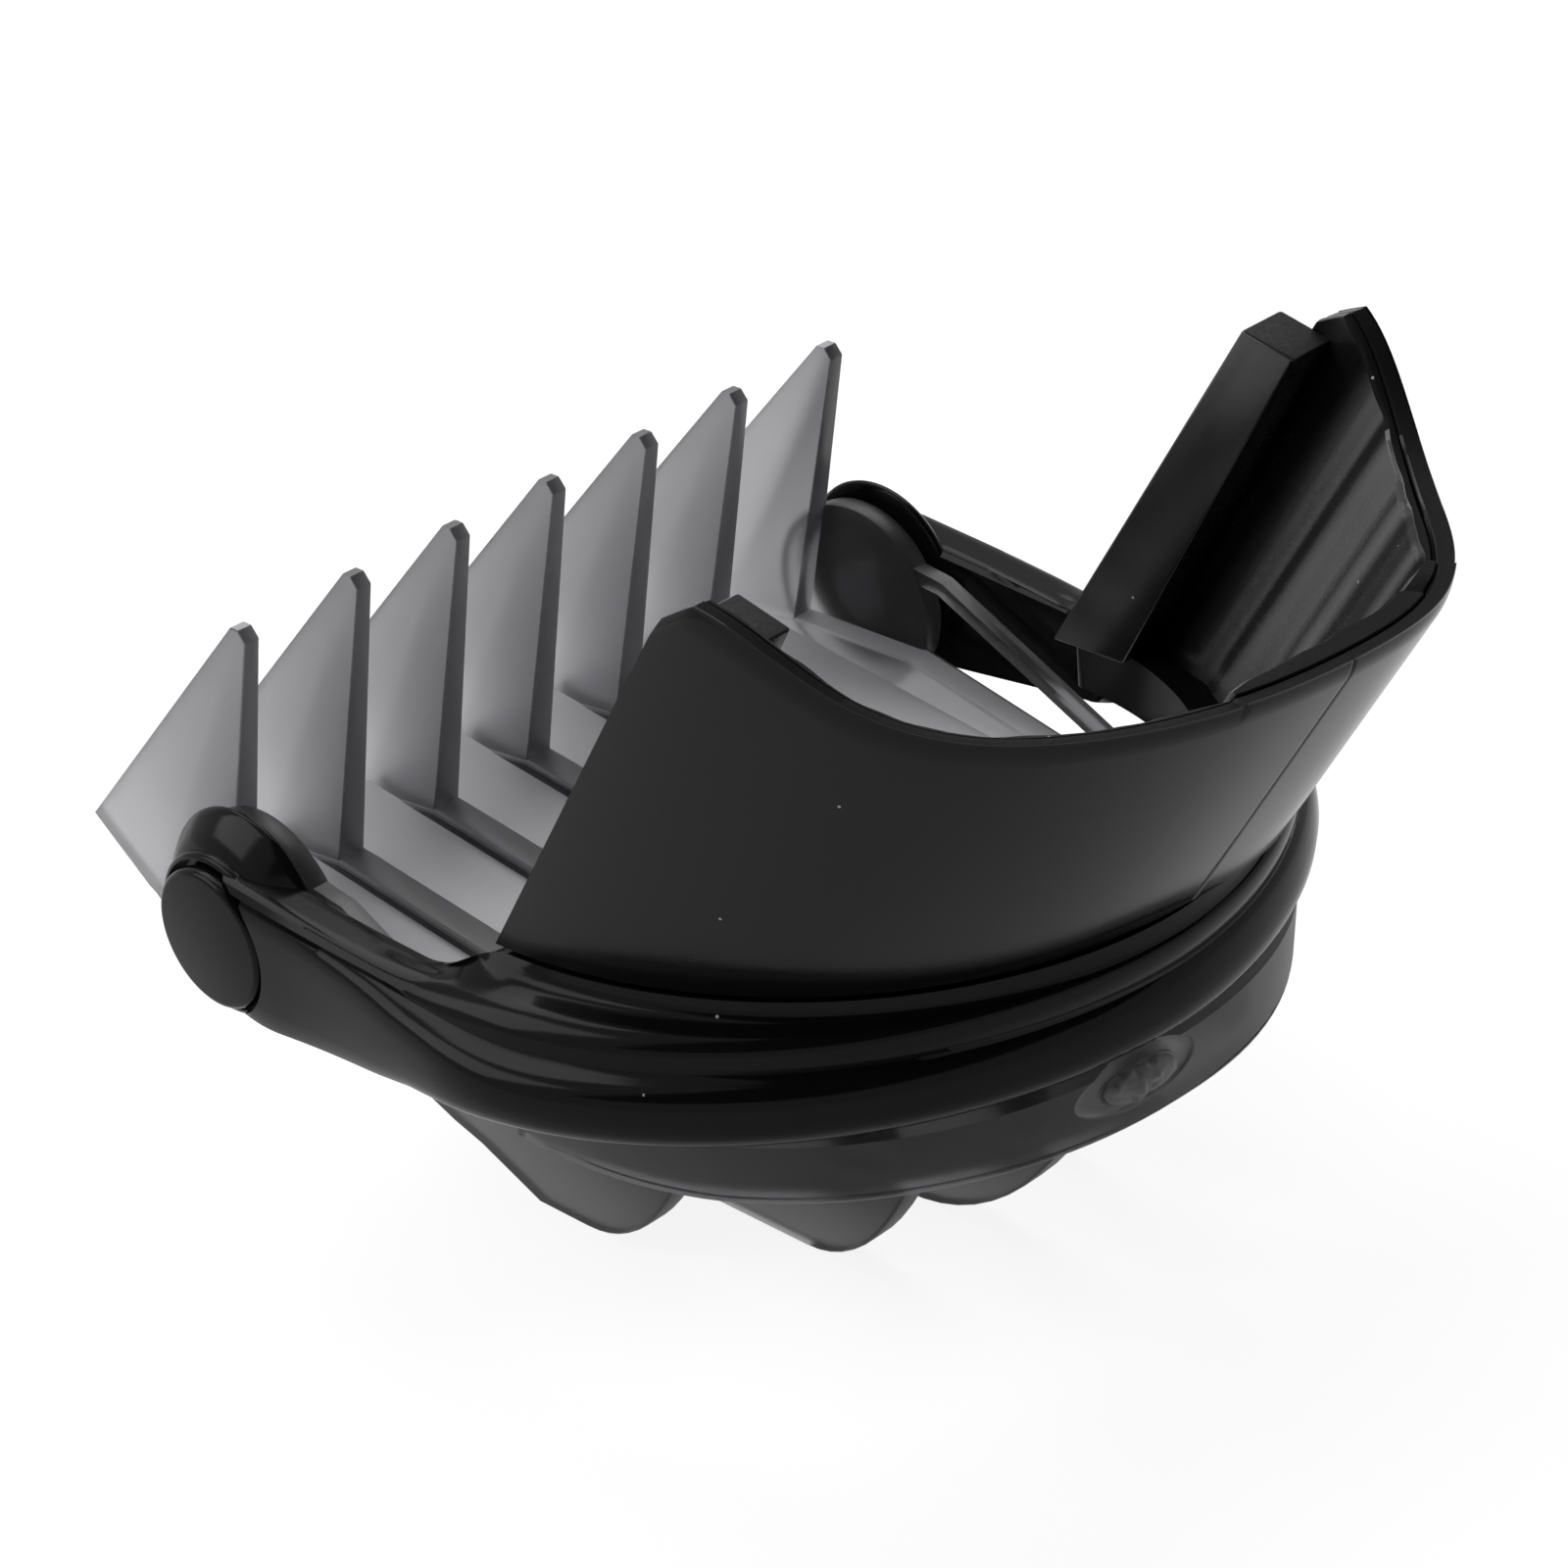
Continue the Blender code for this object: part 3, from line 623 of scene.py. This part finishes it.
class GUARD_OT_rails(bpy.types.Operator):
    """Model the two guide rails inside the sleeve's front ends"""
    bl_idname = "guard.rails"
    bl_label = "Guide rails"

    def execute(self, context):
        low, high = RAIL_LOW - PIVOT, RAIL_HIGH - PIVOT
        slope = math.tan(settings().sleeve.lean)
        foot = seat_height()
        front = low.y - (low.z - foot) * slope
        top = low.y + (high.z - low.z) * slope
        outline = [(front, foot), (top, high.z), (top + 0.0032, high.z - 0.0008),
                   (front + 0.0048, foot)]
        for side, label in ((1, "right"), (-1, "left")):
            rail = slab("rail_" + label, outline, side * low.x, side * high.x)
            round_edges(rail, 0.00018)
            hand_over(rail, "rail_" + label, CARRIER, "satin_black", ["guide_rail_" + label])
            paint_tops(rail, "grained_black")
        return {"FINISHED"}


COLLAR_SECTION = ((0.00, 0.00, 1.00), (0.01, 0.00, 0.95), (0.03, 0.02, 0.90), (0.07, 0.08, 0.865),
                  (0.16, 0.20, 0.84), (0.28, 0.40, 0.83), (0.36, 0.52, 0.815), (0.44, 0.60, 0.78),
                  (0.54, 0.62, 0.72), (0.61, 0.50, 0.65), (0.655, 0.30, 0.59), (0.70, 0.18, 0.55),
                  (0.78, 0.20, 0.525), (0.88, 0.38, 0.505), (0.96, 0.56, 0.47), (1.00, 0.72, 0.42),
                  (1.00, 0.90, 0.34), (1.00, 1.00, 0.24), (1.00, 0.88, 0.14), (1.00, 0.58, 0.06),
                  (1.00, 0.15, 0.01), (1.00, -0.30, 0.00))
ARM_SECTION = ((0.10, 0.98), (0.15, 0.995), (0.22, 1.00), (0.32, 1.00), (0.42, 1.00), (0.52, 1.00),
               (0.62, 1.00), (0.71, 1.00), (0.79, 0.995), (0.86, 0.985), (0.93, 0.945), (0.86, 0.905),
               (0.945, 0.89), (0.97, 0.865), (0.99, 0.83), (1.00, 0.77), (1.00, 0.62),
               (1.00, 0.40), (0.99, 0.20), (0.96, 0.09), (0.90, 0.025), (0.78, 0.00))
CREASE = 11
UNDERSIDE = ((0.30, 0.00), (0.03, 0.06), (0.03, 0.50), (0.03, 0.95))


def ease(value, start, end):
    """Smooth step from nought at start to one at end."""
    part = min(1.0, max(0.0, (value - start) / (end - start)))
    return part * part * (3 - 2 * part)


def collar_loop(y, angle):
    """Corners of the frame's section: an arm's at the front, turning into the collar's behind."""
    size, sleeve = settings().collar, settings().sleeve
    wall, away = oval(sleeve.half, sleeve.front, sleeve.depth, sleeve.power, angle)
    edge, _ = oval(size.half, size.front, size.depth, size.power, angle)
    shift = Vector((0.0, y - size.front, 0.0))
    reach = min(edge.y, size.front + size.depth) + shift.y
    part = min(1.0, max(0.0, reach) / size.arm_end)
    top = size.top_front + (size.top_back - size.top_front) * part
    low = size.low_front + (size.low_back - size.low_front) * part
    low *= math.sqrt(1 - (max(0.0, 0.004 - reach) / 0.006) ** 2)
    inner = wall + away * (size.arm_in - sleeve.half)
    skirt = edge - away * size.skirt
    seat = wall - away * size.seat
    collar = [(wall.lerp(edge, along) + away * size.bulge * swell, size.low + size.tall * height)
              for along, swell, height in COLLAR_SECTION]
    collar += [(skirt, size.low), (skirt, size.ledge), (seat, size.ledge),
               (seat, size.low + size.tall)]
    shaped = ease(reach, 0.0140, 0.0210)
    (first, high), (last, deep) = collar[0], collar[CREASE]
    for i in range(1, CREASE):
        along = i / CREASE
        plain, level = first.lerp(last, along), high + (deep - high) * along
        level += 0.0007 * math.sin(math.pi * along)
        point, height = collar[i]
        collar[i] = plain.lerp(point, shaped), level + (height - level) * shaped
    outer = len(COLLAR_SECTION)
    loop = []
    for i, (across, up) in enumerate(ARM_SECTION + UNDERSIDE):
        arm = inner + away * size.arm_thick * across
        spread_out = ease(reach, 0.005, 0.024) if 0 < i < outer else ease(reach, 0.0154, 0.0184)
        if i < 5:
            rising = ease(reach, 0.0132, 0.0182 + 0.0004 * i)
        elif i < outer:
            rising = ease(reach, 0.0110, 0.0230)
        else:
            rising = spread_out
        point = arm.lerp(collar[i][0], spread_out) + shift
        point.z = low + (top - low) * up
        point.z += (collar[i][1] - point.z) * rising
        loop.append(point)
    return loop


class GUARD_OT_collar(bpy.types.Operator):
    """Model the collar with its two arms and bosses"""
    bl_idname = "guard.collar"
    bl_label = "Collar and arms"

    def execute(self, context):
        size = settings().collar
        right = [collar_loop(y, 0.0) for y in spread(0.0006, size.front, 44)]
        right += [collar_loop(size.front, angle) for angle in spread(0.0, math.pi / 2, size.steps)[1:]]
        left = [[Vector((-p.x, p.y, p.z)) for p in loop] for loop in reversed(right[:-1])]
        loops = right + left
        item = sweep("collar", loops)
        bosses, cuts = [], []
        face = size.arm_in + size.arm_thick - size.tuck
        for side in (1, -1):
            boss = bar("boss", size.boss, side * size.arm_in, side * face, "X",
                       end_radius=size.boss_face, steps=96)
            for corner in boss.data.vertices:
                part = (face - abs(corner.co.x)) / (face - size.arm_in)
                corner.co.y += size.boss_back * part
                corner.co.z += size.boss_up * part
            round_edges(boss, 0.0015, 8)
            end = bar("end", 0.0044, side * size.arm_in, side * (face + 0.0002), "X", steps=96)
            round_edges(end, 0.0003, 3)
            bosses += [boss, end]
            floor = CAP_LOW.x - 0.0003
            cuts.append(bar("recess", 0.0041, side * floor, side * (face + 0.002), "X", steps=96))
            cuts.append(bar("bore", 0.0018, side * (size.arm_in - 0.001), side * (floor + 0.001),
                            "X"))
        combine(item, bosses, "UNION")
        combine(item, cuts, "DIFFERENCE")
        hand_over(item, "collar_arms", CARRIER, "soft_black", ["collar_frame"])
        return {"FINISHED"}


class GUARD_OT_caps(bpy.types.Operator):
    """Model the round caps and the pins of the pivot"""
    bl_idname = "guard.caps"
    bl_label = "Pivot caps and pins"

    def execute(self, context):
        for side, label in ((1, "right"), (-1, "left")):
            cap = bar("cap", 0.0038, side * CAP_LOW.x, side * CAP_HIGH.x, "X", steps=96)
            round_edges(cap, 0.00035, 4)
            hand_over(cap, "cap_" + label, CARRIER, "soft_black", ["pivot_cap_" + label])
            pin = bar("pin", 0.0015, side * 0.0217, side * PIN_HIGH.x, "X")
            round_edges(pin, 0.0003, 2)
            hand_over(pin, "pin_" + label, CARRIER, "plain_steel", ["pivot_pin_" + label])
        return {"FINISHED"}


FIN = {"tip": (-0.0145, 0.0005), "apex": 0.0007, "height": 0.0153, "foot": -0.0037, "sink": 0.0019,
       "chin": (-0.0105, -0.0025), "chamfer": 0.0006, "root": 0.0014}
HEELS = ((0.0225, 0.0115, 0.0076, 0.0), (0.0218, 0.0078, 0.0068, 0.0),
         (0.0128, 0.0070, 0.0052, 0.0009))
BELLY = 0.0188


def bend(start, pull, end, steps=10):
    """Points of a smooth bend from start to end, pulled toward a third point."""
    points = []
    for t in spread(0.0, 1.0, steps + 1):
        points.append(tuple((1 - t) ** 2 * a + 2 * t * (1 - t) * b + t * t * c
                            for a, b, c in zip(start, pull, end)))
    return points


def tooth_top(y):
    slope = (0.0042 - FIN["sink"]) / (0.0126 - FIN["foot"])
    return -FIN["sink"] - slope * (y - FIN["foot"])


def fin_outline():
    slope = (FIN["apex"] - FIN["foot"]) / (FIN["height"] + FIN["sink"])
    cut = FIN["chamfer"]
    return [FIN["tip"], (FIN["apex"] - 2 * cut, FIN["height"]), (FIN["apex"] - cut, FIN["height"]),
            (FIN["apex"] - cut * slope, FIN["height"] - cut), (FIN["foot"], -FIN["sink"]),
            (FIN["foot"] - FIN["root"] * slope, -FIN["sink"] - FIN["root"]),
            (FIN["chin"][0] + FIN["root"], FIN["chin"][1] - FIN["root"] / 2), FIN["chin"]]


def tooth_outline(pair, x):
    """Inner tooth: chin, belly, flat underside, heel, then up to the rim and back along the top."""
    size = settings().comb
    heel, run, rise, lift = HEELS[pair]
    low = -BELLY + lift
    flat = min(0.0130, heel - 0.0036)
    front = min(0.0050, flat - 0.0036)
    end = (size.rim_front + size.rim_depth * (1 - (abs(x) / size.rim_half) ** size.rim_power)
           ** (1 / size.rim_power) - size.rim / 2)
    points = bend(FIN["chin"], (FIN["chin"][0] / 2, -0.71 * BELLY), (front, low + 0.1 * BELLY))
    points.append((flat, low))
    points += bend((heel, low), (heel + 0.55 * run, low), (heel + run, low + rise))
    points.append((min(heel + run + 0.0036, end - 0.0003), -0.0061))
    return points + [(end, -0.0061), (end, -0.0042), (0.0126, -0.0042), (FIN["foot"], -FIN["sink"])]


def end_tooth_outline():
    """Shallow side wall that carries the pivot ear and runs back into the rim."""
    size = settings().comb
    points = bend(FIN["chin"], (FIN["chin"][0] / 2, -0.0066), (0.0, -0.0066))
    back = size.rim_front + size.rim
    return points + [(back, -0.0061), (back, -0.0042), (0.0148, -0.0042), (0.0050, -FIN["sink"]),
                     (FIN["foot"], -FIN["sink"])]


def rim_band():
    """Band round the back: its top tucks inside the collar, the rest stands out below it."""
    size, collar = settings().comb, settings().collar
    loops = []
    for angle in spread(0.0, math.pi, 72):
        rise = math.sin(angle)
        top = -0.0039 + (collar.ledge - 0.0003 + 0.0039) * rise
        shoulder = min(collar.low - 0.0003, top - 0.0005)
        outer, away = oval(size.rim_half, size.rim_front, size.rim_depth, size.rim_power, angle)
        wider = 0.6 * math.exp(-((angle - 1.85) / 0.6) ** 2)
        flare = away * (0.0012 * min(1.0, 2 * rise) + 0.0009 * wider * min(1.0, 4 * rise))
        low = -0.0064 - 0.0009 * wider
        full = 0.55 + 0.3 * wider
        inner = outer - away * size.rim
        section = ((outer + flare * full, low), (outer + flare * (full + 0.13), low + 0.0002),
                   (outer + flare * (full + 0.15), low + 0.00035),
                   (outer + flare * (full + 0.03), low + 0.0004),
                   (outer + flare * (full + 0.17), low + 0.0005),
                   (outer + flare * 1.05, shoulder - 0.0006),
                   (outer + flare * 0.8, shoulder - 0.0001), (outer + flare * 0.5, shoulder),
                   (outer, shoulder), (outer, top), (inner, top), (inner, low))
        loops.append([Vector((p.x, p.y, z)) for p, z in section])
    return sweep("rim", loops)


def fin(x):
    """One fin: thick at its foot, thin at its apex, with softened edges."""
    size = settings().comb
    item = slab("fin", fin_outline(), x - size.fin_foot / 2, x + size.fin_foot / 2)
    loss = (1 - size.fin_top / size.fin_foot) / (FIN["height"] + FIN["sink"])
    for corner in item.data.vertices:
        corner.co.x = x + (corner.co.x - x) * (1 - loss * (corner.co.z + FIN["sink"]))
    round_edges(item, 0.00007, 2)
    return item


SCAR = Vector((0.0024, 0.0, -0.0040))


def bed_on_rim(item, rim):
    """Bed a piece that was made flat on the rim's curved outer face."""
    bpy.ops.object.transform_apply(location=True, rotation=True, scale=True)
    depsgraph = bpy.context.evaluated_depsgraph_get()
    for corner in item.data.vertices:
        behind = Vector((corner.co.x, CAD_BOX[1][1] * 2, corner.co.z))
        _, place, _, _ = rim.ray_cast(behind, Vector((0.0, -1.0, 0.0)), depsgraph=depsgraph)
        corner.co.y += place.y


def gate_scar(rim):
    """The lumpy scar on the rim where the plastic was let into the mould, and the groove round it."""
    bpy.ops.object.select_all(action="DESELECT")
    bpy.ops.mesh.primitive_uv_sphere_add(segments=64, ring_count=32, radius=0.0016, location=SCAR,
                                         scale=(1.25, 0.25, 0.50))
    scar = bpy.context.object
    bed_on_rim(scar, rim)
    lumps = bpy.data.textures.new("lumps", "CLOUDS")
    lumps.noise_scale = 0.0006
    modify(scar, "DISPLACE", texture=lumps, strength=0.0005, mid_level=0.0,
           texture_coords="LOCAL")
    bpy.ops.object.select_all(action="DESELECT")
    bpy.ops.mesh.primitive_torus_add(major_radius=0.0013, minor_radius=0.0003, major_segments=96,
                                     minor_segments=12, location=SCAR,
                                     rotation=(math.pi / 2, 0.0, 0.0))
    ring = bpy.context.object
    ring.scale.x = 2.4
    bed_on_rim(ring, rim)
    return scar, ring


def paint_comb_light_and_shade(face):
    """Painted shade and light of one face of the comb: thick plastic and faces looking back are toned
    dark as painted shade, thin plates pale as painted light from the white floor below; clearer faces
    are also rougher, a real frost.
    """
    size = settings().comb
    place, normal = face.center, face.normal
    across = abs(place.x)
    if across > size.end + 0.0003 and place.z > -FIN["sink"] - 0.0022 and place.y > -size.ear:
        return (0.4 if place.y < size.ear else 0.1), 0.0
    if place.y > size.rim_front + size.rim_depth and face.area < 1.5e-7:
        return 0.4, 0.15
    above = place.z - tooth_top(place.y)
    if above < -0.0022 or normal.y > 0.3 or place.y > 0.014:
        return 0.0, 0.0
    if abs(normal.z) < 0.9:
        return 1.0, 0.15
    if above < -0.0004:
        return 1.0, 0.95
    return (0.45, 0.12) if across < size.end - size.tooth else (1.0, 0.6)


class GUARD_OT_comb(bpy.types.Operator):
    """Model the smoky comb: rim, floor, teeth, fins and pivot ears"""
    bl_idname = "guard.comb"
    bl_label = "Comb"

    def execute(self, context):
        size = settings().comb
        item = rim_band()
        added, cuts = [], []
        for place in range(-3, 4):
            x = place * size.pitch
            outline = tooth_outline(abs(place), x) if abs(place) < 3 else end_tooth_outline()
            if abs(place) == 3:
                x = math.copysign(size.end, place)
            tooth = slab("tooth", outline, x - size.tooth / 2, x + size.tooth / 2)
            round_edges(tooth, size.edge, 3)
            added += [tooth, fin(x)]
        floor = [(y, tooth_top(y) - 0.0008) for y in (-0.0090, 0.0126)]
        floor += [(y, z - size.floor) for y, z in reversed(floor)]
        added.append(slab("floor", floor, -size.end, size.end))
        for side in (1, -1):
            inner, outer = size.end + size.tooth / 2 - 0.0005, 0.02215
            ear = bar("ear", size.ear, side * inner, side * outer, "X", steps=72)
            round_edges(ear, 0.00025, 2)
            face = size.end + size.tooth / 2
            rod = slab("finger", [(0.0034, 0.0022), (0.0063, 0.0018), (0.0190, -0.0046),
                                  (0.0190, -0.0037), (0.0066, 0.0026), (0.0034, 0.0031)],
                       side * (face - 0.00035), side * (face + 0.00055))
            added += [ear, rod]
            cuts.append(bar("bore", size.bore, side * 0.0216, side * (outer + 0.001), "X"))
        scar, ring = gate_scar(item)
        combine(item, added + [scar], "UNION")
        combine(item, cuts + [ring], "DIFFERENCE")
        # Per-face shares for the comb's finish: a dark tone as painted shade and a pale layer as painted
        # light.
        clear = item.data.attributes.new("clear", "FLOAT", "FACE")
        veil = item.data.attributes.new("veil", "FLOAT", "FACE")
        for face in item.data.polygons:
            clear.data[face.index].value, veil.data[face.index].value = paint_comb_light_and_shade(face)
        hand_over(item, "comb_smoky", COMB, "smoke_with_painted_light", ["comb"], 0.5)
        return {"FINISHED"}


def sees_background(flow, glossy):
    """One where a camera or see-through ray looks, a share for glossy rays, nought for others."""
    rays = flow.add("ShaderNodeLightPath")
    outputs = rays.socket.node.outputs
    seen = flow.maths("MAXIMUM", Flow(flow.tree, outputs["Is Camera Ray"]),
                      Flow(flow.tree, outputs["Is Transmission Ray"]))
    return flow.maths("MAXIMUM", seen, Flow(flow.tree, outputs["Is Glossy Ray"]) * glossy)


def lamp(name, place, aim, width, height, power):
    bpy.ops.object.select_all(action="DESELECT")
    bpy.ops.object.light_add(type="AREA", location=place)
    item = bpy.context.object
    item.name = name
    item.rotation_euler = (Vector(aim) - Vector(place)).to_track_quat("-Z", "Y").to_euler()
    item.data.shape = "RECTANGLE"
    item.data.size = width
    item.data.size_y = height
    item.data.energy = power
    return item


class GUARD_OT_stage(bpy.types.Operator):
    """Set up the pale floor, the soft lamps, the white surround, a dark overhead sheet of painted shade
    on the camera's side, and the camera
    """
    bl_idname = "guard.stage"
    bl_label = "Stage"

    def execute(self, context):
        scene = context.scene
        bpy.ops.object.select_all(action="DESELECT")
        bpy.ops.mesh.primitive_plane_add(size=6.0, location=(0.0, 0.0, 0.0))
        floor = context.object
        floor.name = "floor"
        material, flow = blank_material("pale_floor")
        tone = (*settings().finish.floor, 1.0)
        matt = flow.add("ShaderNodeBsdfDiffuse", {}, {"Color": tone})
        dim = flow.add("ShaderNodeBsdfDiffuse", {}, {"Color": (0.25, 0.25, 0.25, 1.0)})
        glow = flow.add("ShaderNodeEmission", {}, {"Strength": 0.88})
        bright = flow.add("ShaderNodeAddShader", {}, {0: dim, 1: glow})
        mixed = flow.add("ShaderNodeMixShader", {}, {0: sees_background(flow, 0.47), 1: matt, 2: bright})
        flow.add("ShaderNodeOutputMaterial", {}, {"Surface": mixed})
        floor.data.materials.append(material)

        world = scene.world or bpy.data.worlds.new("surround")
        scene.world = world
        world.use_nodes = True
        world.node_tree.nodes.clear()
        flow = Flow(world.node_tree)
        strength = 0.45 + sees_background(flow, 0.35) * 0.55
        sky = flow.add("ShaderNodeBackground", {}, {"Color": (1.0, 1.0, 1.0, 1.0),
                                                    "Strength": strength})
        flow.add("ShaderNodeOutputWorld", {}, {"Surface": sky})

        # Dark sheet overhead on the camera's side: painted shade standing in for the unlit room there,
        # darkening reflections in the black plastic and keeping the white surround off that side.
        bpy.ops.object.select_all(action="DESELECT")
        bpy.ops.mesh.primitive_plane_add(size=2.6, location=(0.45, 1.33, 0.7))
        shade_sheet = context.object
        shade_sheet.name = "shade_sheet"
        material, flow = blank_material("dark_shade_sheet")
        shade_black = flow.add("ShaderNodeBsdfDiffuse", {}, {"Color": (0.03, 0.03, 0.03, 1.0)})
        flow.add("ShaderNodeOutputMaterial", {}, {"Surface": shade_black})
        shade_sheet.data.materials.append(material)

        aim = (0.0, 0.0, 0.02)
        lamp("lamp_key", (-0.45, -0.55, 1.15), aim, 1.2, 0.9, 8.0)
        lamp("lamp_left", (0.55, -0.50, 0.6), aim, 0.6, 0.6, 3.0)

        bpy.ops.object.select_all(action="DESELECT")
        bpy.ops.object.camera_add()
        camera = context.object
        camera.data.sensor_width = 36.0
        camera.data.lens = 103.5
        camera.matrix_world = CAMERA
        camera.data.clip_start = 0.01
        camera.data.clip_end = 20.0
        scene.camera = camera
        scene.view_settings.view_transform = "Standard"
        return {"FINISHED"}


CAMERA = Matrix(((-0.70027, -0.392884, 0.59604, 0.135034),
                 (0.709249, -0.287976, 0.643456, 0.142445),
                 (-0.081159, 0.873334, 0.480314, 0.130084),
                 (0.0, 0.0, 0.0, 1.0)))


class GUARD_PT_panel(bpy.types.Panel):
    """The guard comb's pieces and settings"""
    bl_idname = "GUARD_PT_panel"
    bl_label = "Guard comb"
    bl_space_type = "VIEW_3D"
    bl_region_type = "UI"
    bl_category = "Guard comb"

    def draw(self, context):
        for operator in OPERATORS:
            self.layout.operator(operator.bl_idname)
        for group in (settings().sleeve, settings().collar, settings().comb, settings().finish):
            box = self.layout.box()
            for key in group.__annotations__:
                box.prop(group, key)


OPERATORS = (GUARD_OT_sleeve, GUARD_OT_liner, GUARD_OT_rails, GUARD_OT_collar, GUARD_OT_caps,
             GUARD_OT_comb, GUARD_OT_stage)
CLASSES = (SleeveSettings, CollarSettings, CombSettings, FinishSettings, GuardSettings,
           *OPERATORS, GUARD_PT_panel)


def register():
    for kind in CLASSES:
        bpy.utils.register_class(kind)
    bpy.types.Scene.guard_comb = PointerProperty(type=GuardSettings)


def unregister():
    del bpy.types.Scene.guard_comb
    for kind in reversed(CLASSES):
        bpy.utils.unregister_class(kind)


def main():
    register()
    bpy.ops.guard.sleeve()
    bpy.ops.guard.liner()
    bpy.ops.guard.rails()
    bpy.ops.guard.collar()
    bpy.ops.guard.caps()
    bpy.ops.guard.comb()
    bpy.ops.guard.stage()


if __name__ == "__main__":
    main()
